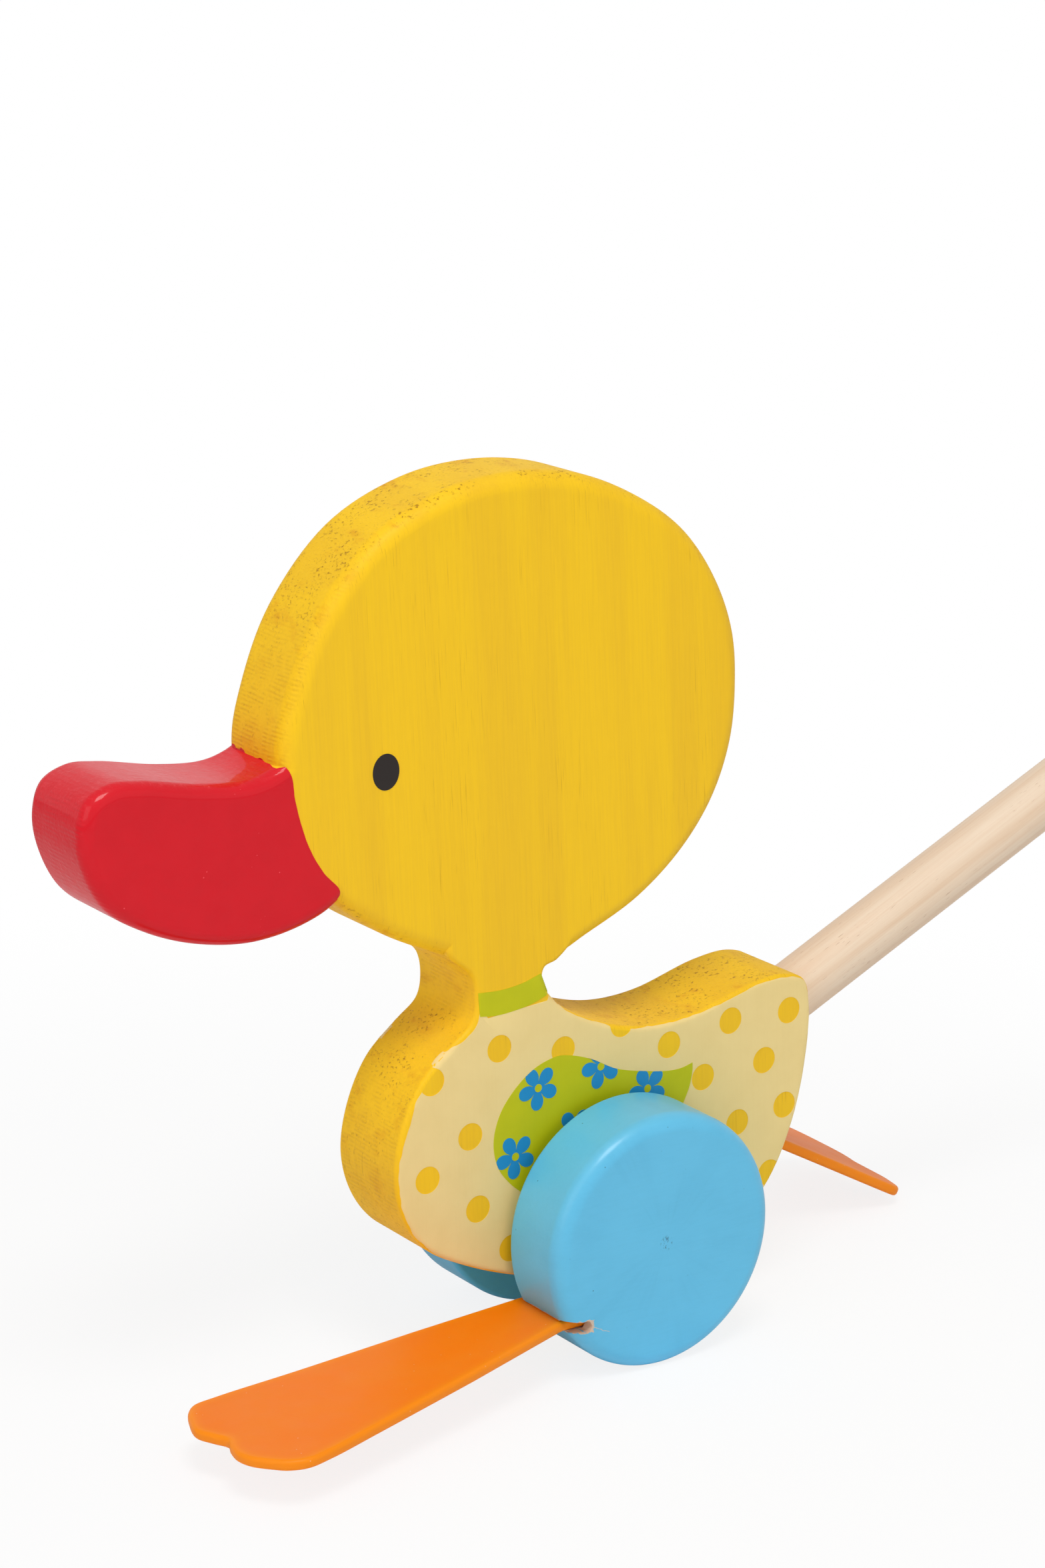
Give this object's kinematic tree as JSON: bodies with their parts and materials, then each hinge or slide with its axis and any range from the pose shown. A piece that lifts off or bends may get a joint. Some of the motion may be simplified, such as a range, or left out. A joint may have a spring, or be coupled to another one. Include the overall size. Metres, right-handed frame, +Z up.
{
  "type": "duck push toy",
  "caption": "Push-along wooden duck sawn from a board, with wheels on a turning axle that slap webbed rubber feet on the floor, and a long push stick ending in a ball.",
  "frame": {"origin": "on the ground, under the middle of the whole toy from the beak's tip to the ball on the stick", "axes": "the duck looks along -X and the stick runs back and up along +X, +Y is towards the duck's right side along the axle, +Z is up"},
  "size_m": [0.5556, 0.1038, 0.2482],
  "materials": {
    "yellow_painted_wood": "satin paint over sawn board, the grain showing through",
    "bare_beech": "clear satin varnish over pale fine-grained dowel",
    "red_painted_wood": "gloss paint",
    "axle_wood": "bare dowel",
    "blue_painted_wood": "satin paint over turned wood",
    "orange_rubber": "smooth matt moulded rubber"
  },
  "bodies": {
    "duck": {"duck_body": "yellow_painted_wood", "push_stick": "bare_beech", "grip_ball": "red_painted_wood"},
    "wheel_set": {"axle": "axle_wood", "wheel_left": "blue_painted_wood", "wheel_right": "blue_painted_wood", "foot_left": "orange_rubber", "foot_right": "orange_rubber"}
  },
  "joints": [
    {"name": "wheel_spin", "type": "hinge", "parent": "duck", "child": "wheel_set", "pos_m": [-0.14404, 0, 0.03], "axis": [0, 1, 0], "continuous": true}
  ]
}
